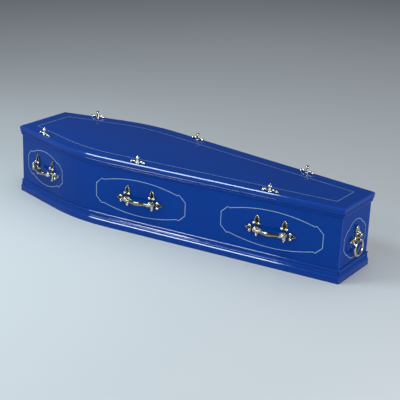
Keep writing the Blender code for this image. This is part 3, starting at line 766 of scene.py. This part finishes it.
class BuildBoards(bpy.types.Operator):
    """Build the side and end boards and dress the base board"""
    bl_idname = "coffin.build_boards"
    bl_label = "Build Boards"

    def execute(self, context):
        sizes, _, _ = settings()
        plan = Plan(sizes)
        top = sizes.height - sizes.lid_thick - GAP
        section = [(sizes.overhang, 0.0), (sizes.overhang, top), (sizes.overhang + sizes.wall, top),
                   (sizes.overhang + sizes.wall, 0.0)]
        for name, side in SIDES:
            bm = sweep_side(plan, section, 3 * sizes.wall)
            for end in (-1, 1):
                mitre(bm, plan, end, 1, 1)
                ease(bm, plan, end, 1, sizes.overhang)
            if side < 0:
                mirror_y(bm)
            wall_map = bm.loops.layers.uv.new("wall")
            for face in bm.faces:
                for loop in face.loops:
                    loop[wall_map].uv = (plan.station(loop.vert.co), loop.vert.co.z)
            finish(bm, f"side_board_{name}_look", blues(side_lines))
        for name, end in ENDS:
            bm = sweep_end(plan, section, end, 3 * sizes.wall)
            for side in (-1, 1):
                mitre(bm, plan, end, side, -1)
                ease(bm, plan, end, side, sizes.overhang)
            finish(bm, f"{name}_board_look", blues(end_lines))
        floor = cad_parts["base_board"]
        floor.data.materials.clear()
        floor.data.materials.append(blue())
        return {"FINISHED"}


class BuildMouldings(bpy.types.Operator):
    """Build the plinth and the moulding under the lid"""
    bl_idname = "coffin.build_mouldings"
    bl_label = "Build Mouldings"

    def execute(self, context):
        sizes, _, _ = settings()
        plan = Plan(sizes)
        over = 3 * sizes.overhang
        for label, section in (("base_moulding", plinth_section(sizes)), ("lid_moulding", lid_section(sizes))):
            for name, side in SIDES:
                bm = sweep_side(plan, section, over)
                for end in (-1, 1):
                    mitre(bm, plan, end, 1, 1)
                    ease(bm, plan, end, 1, 0.0)
                if side < 0:
                    mirror_y(bm)
                bmesh.ops.recalc_face_normals(bm, faces=bm.faces)
                # Upward-sloping faces get the arris lacquer: glossier, and lightened as a painted highlight.
                polish_with_painted_highlight(bm, 0.45, 0.92)
                finish(bm, f"{label}_{name}_look", blues(), angle=50)
            for name, end in ENDS:
                bm = sweep_end(plan, section, end, over)
                for side in (-1, 1):
                    mitre(bm, plan, end, side, -1)
                    ease(bm, plan, end, side, 0.0)
                bmesh.ops.recalc_face_normals(bm, faces=bm.faces)
                # Upward-sloping faces get the arris lacquer: glossier, and lightened as a painted highlight.
                polish_with_painted_highlight(bm, 0.45, 0.92)
                finish(bm, f"{label}_{name}_look", blues(), angle=50)
        return {"FINISHED"}


class BuildLid(bpy.types.Operator):
    """Build the lid board with its rounded top edge"""
    bl_idname = "coffin.build_lid"
    bl_label = "Build Lid"

    def execute(self, context):
        sizes, _, _ = settings()
        plan = Plan(sizes)
        low = sizes.height - sizes.lid_thick
        bm = bmesh.new()
        first = bm.verts.new((*plan.corner(-1, 0.0), low))
        joint = bm.verts.new((*plan.joint(-1, 0.0), low))
        bm.edges.new((first, joint))
        bmesh.ops.spin(
            bm, geom=[joint], cent=(*plan.centre, low), axis=(0, 0, 1), angle=-plan.turn, steps=round(plan.turn / FACET))
        bm.verts.ensure_lookup_table()
        last = max(bm.verts, key=lambda v: v.co.x)
        bm.edges.new((last, bm.verts.new((*plan.corner(1, 0.0), low))))
        chain = bm.verts[:] + bm.edges[:]
        copied = bmesh.ops.duplicate(bm, geom=chain)["geom"]
        bmesh.ops.scale(bm, vec=(1, -1, 1), verts=[v for v in copied if isinstance(v, bmesh.types.BMVert)])
        bmesh.ops.bridge_loops(bm, edges=bm.edges[:])
        extrude(bm, bm.faces[:], (0, 0, sizes.lid_thick))
        bmesh.ops.recalc_face_normals(bm, faces=bm.faces)
        rim = [e for e in bm.edges if all(v.co.z > sizes.height - GAP for v in e.verts)
               and any(abs(f.normal.z) < 0.5 for f in e.link_faces)]
        bmesh.ops.bevel(bm, geom=rim, affect="EDGES", offset=sizes.lid_round, segments=1, profile=0.5, material=-1)
        arrises = [e for e in bm.edges if e.calc_face_angle() > 0.3 and any(v.co.z > low + GAP for v in e.verts)]
        bmesh.ops.bevel(bm, geom=arrises, affect="EDGES", offset=0.0010, segments=3, profile=0.5, material=-1)
        # The chamfer and its rounds get the arris lacquer: glossier, and lightened as a painted highlight.
        polish_with_painted_highlight(bm, 0.3, 0.98)
        finish(bm, "lid_board_look", blues(lid_lines), angle=40)
        return {"FINISHED"}


class BuildScrews(bpy.types.Operator):
    """Build the six thumb screws and their wreaths"""
    bl_idname = "coffin.build_screws"
    bl_label = "Build Thumb Screws"

    def execute(self, context):
        sizes, _, _ = settings()
        plan = Plan(sizes)
        inset = sizes.overhang + sizes.wall - 0.0065
        wreath_shape, screw_shape = wreath(), thumb_screw()
        number = 0
        for _, side in SIDES:
            for along in (0.210, 0.855, -0.375):
                x = along - math.copysign(plan.half, along)
                end = 1 if x > plan.joint(1, inset).x else -1
                run = plan.run(end)
                start = plan.joint(end, inset)
                point = start + run * ((x - start.x) / run.x)
                number += 1
                turn = Matrix.Rotation(side * math.atan2(run.y, run.x), 4, "Z")
                matrix = Matrix.Translation((point.x, side * point.y, sizes.height + GAP)) @ turn
                place_copy(wreath_shape, matrix, f"lid_wreath_{number}", shade=SCREW_SHADE)
                place_copy(screw_shape, matrix, f"lid_screw_{number}", shade=SCREW_SHADE)
        return {"FINISHED"}


class BuildHandles(bpy.types.Operator):
    """Build the six bar handles and their plates"""
    bl_idname = "coffin.build_handles"
    bl_label = "Build Handles"

    def execute(self, context):
        sizes, fittings, _ = settings()
        plan = Plan(sizes)
        plate_shape, bar_shape = handle_plate(), bar()
        for side_name, side in SIDES:
            for place_name, along in (("head", 0.228), ("middle", -1.04730), ("foot", -0.3442)):
                point, run = plan.place(along)
                out = outward(run)
                frame_here = wall_frame(Vector((point.x, side * point.y)), Vector((out.x, side * out.y)), fittings.height)
                label = f"{side_name}_{place_name}"
                for letter, end in (("a", -1), ("b", 1)):
                    matrix = frame_here @ Matrix.Translation((end * fittings.pitch / 2, 0, 0)) @ Matrix.Diagonal((end, 1, 1, 1))
                    place_copy(plate_shape, matrix, f"handle_plate_{label}_{letter}")
                place_copy(bar_shape, frame_here, f"handle_bar_{label}", shade=BAR_SHADE)
        return {"FINISHED"}


class BuildRings(bpy.types.Operator):
    """Build the drop ring and its plate at each end"""
    bl_idname = "coffin.build_rings"
    bl_label = "Build Drop Rings"

    def execute(self, context):
        sizes, fittings, _ = settings()
        plan = Plan(sizes)
        plate_shape, ring_shape = ring_plate(), drop_ring()
        for name, end in ENDS:
            here = wall_frame(Vector((end * (plan.half - sizes.overhang), 0.0)), Vector((end, 0.0)), fittings.height)
            place_copy(plate_shape, here, f"ring_plate_{name}", shade=RING_SHADE)
            place_copy(ring_shape, here @ Matrix.Translation((0, 0, fittings.ring_standoff)), f"drop_ring_{name}", f"{name}_ring", RING_SHADE)
        return {"FINISHED"}


def softbox(name, place, aim, size, power, color=(1.0, 1.0, 1.0), mirrored=True):
    """A soft rectangular studio light, seen in polished surfaces unless mirrored is off."""
    data = bpy.data.lights.new(name, "AREA")
    data.shape = "RECTANGLE"
    data.size, data.size_y = size
    data.energy = power
    data.color = color
    lamp = bpy.data.objects.new(name, data)
    bpy.context.scene.collection.objects.link(lamp)
    lamp.visible_glossy = mirrored
    lamp.location = place
    lamp.rotation_euler = (Vector(aim) - Vector(place)).to_track_quat("-Z", "Y").to_euler()
    return lamp


class BuildStage(bpy.types.Operator):
    """Set up the pale floor, the soft lights and the camera"""
    bl_idname = "coffin.build_stage"
    bl_label = "Build Stage"

    def execute(self, context):
        scene = context.scene
        scene.view_settings.view_transform = "Standard"
        bm = bmesh.new()
        bmesh.ops.create_grid(bm, x_segments=1, y_segments=1, size=30.0)
        mesh = bpy.data.meshes.new("floor")
        bm.to_mesh(mesh)
        bm.free()
        floor = bpy.data.objects.new("floor", mesh)
        scene.collection.objects.link(floor)
        material, wire, shader = start_material("Pale floor")
        soft = noise(wire, object_place(wire), 0.6, 2.0)
        put(material, shader, Base_Color=blend(wire, soft, (0.56, 0.57, 0.58), (0.60, 0.61, 0.62)))
        shader.inputs["Roughness"].default_value = 0.9
        shader.inputs["Specular IOR Level"].default_value = 0.1
        mesh.materials.append(material)

        world = bpy.data.worlds.new("Studio")
        scene.world = world
        world.use_nodes = True
        background = world.node_tree.nodes["Background"]
        background.inputs["Color"].default_value = (0.75, 0.82, 1.0, 1.0)
        background.inputs["Strength"].default_value = 0.11

        softbox("Strip light", (-1.2, -1.33, 2.4), (-1.2, -0.3, 0.3), (2.1, 0.66), 45.0, (0.76, 0.94, 1.0))
        softbox("Front light", (0.3, -4.0, 1.4), (0.0, 0.0, 0.4), (2.0, 1.0), 39.0, (0.72, 0.92, 1.0), mirrored=False)
        softbox("Foot light", (4.2, -0.8, 1.5), (0.9, 0.0, 0.4), (1.8, 1.2), 80.0, (0.90, 0.96, 1.0))
        softbox("Key light", (-1.6, -3.2, 2.6), (0.0, 0.0, 0.2), (0.80, 0.60), 27.0)
        softbox("Spark light", (3.0, -2.4, 2.2), (0.9, 0.0, 0.2), (0.30, 0.30), 18.0)
        softbox("Overhead light", (0.8, 2.0, 6.0), (0.4, 0.6, 0.0), (7.0, 7.0), 165.0, (0.92, 0.97, 1.0), mirrored=False)

        turn, rise, roll = math.radians(33.99), math.radians(20.69), math.radians(2.39)
        back = Vector((math.sin(turn) * math.cos(rise), -math.cos(turn) * math.cos(rise), math.sin(rise)))
        level = Vector((math.cos(turn), math.sin(turn), 0.0))
        upright = back.cross(level)
        x_axis = level * math.cos(roll) + upright * math.sin(roll)
        y_axis = upright * math.cos(roll) - level * math.sin(roll)
        camera_data = bpy.data.cameras.new("Camera")
        camera_data.sensor_width = 36.0
        camera_data.lens = 94.72
        camera = bpy.data.objects.new("Camera", camera_data)
        scene.collection.objects.link(camera)
        rotation = Matrix((x_axis, y_axis, back)).transposed().to_4x4()
        camera.matrix_world = Matrix.Translation(Vector((0.0918, 0.0, 0.1504)) + back * 5.275) @ rotation
        scene.camera = camera
        return {"FINISHED"}


class CoffinPanel(bpy.types.Panel):
    """Coffin tools in the sidebar"""
    bl_idname = "VIEW3D_PT_coffin"
    bl_label = "Coffin"
    bl_space_type = "VIEW_3D"
    bl_region_type = "UI"
    bl_category = "Coffin"

    def draw(self, context):
        for name, group in GROUPS:
            box = self.layout.box()
            for key in group.__annotations__:
                box.prop(getattr(context.scene, name), key)
        for operator in OPERATORS:
            self.layout.operator(operator.bl_idname)


OPERATORS = (BuildBoards, BuildMouldings, BuildLid, BuildScrews, BuildHandles, BuildRings, BuildStage)
CLASSES = tuple(group for _, group in GROUPS) + OPERATORS + (CoffinPanel,)


def register():
    for cls in CLASSES:
        bpy.utils.register_class(cls)
    for name, group in GROUPS:
        setattr(bpy.types.Scene, name, PointerProperty(type=group))


def unregister():
    for name, _ in GROUPS:
        delattr(bpy.types.Scene, name)
    for cls in reversed(CLASSES):
        bpy.utils.unregister_class(cls)


def main():
    register()
    bpy.ops.coffin.build_boards()
    bpy.ops.coffin.build_mouldings()
    bpy.ops.coffin.build_lid()
    bpy.ops.coffin.build_screws()
    bpy.ops.coffin.build_handles()
    bpy.ops.coffin.build_rings()
    bpy.ops.coffin.build_stage()


if __name__ == "__main__":
    main()
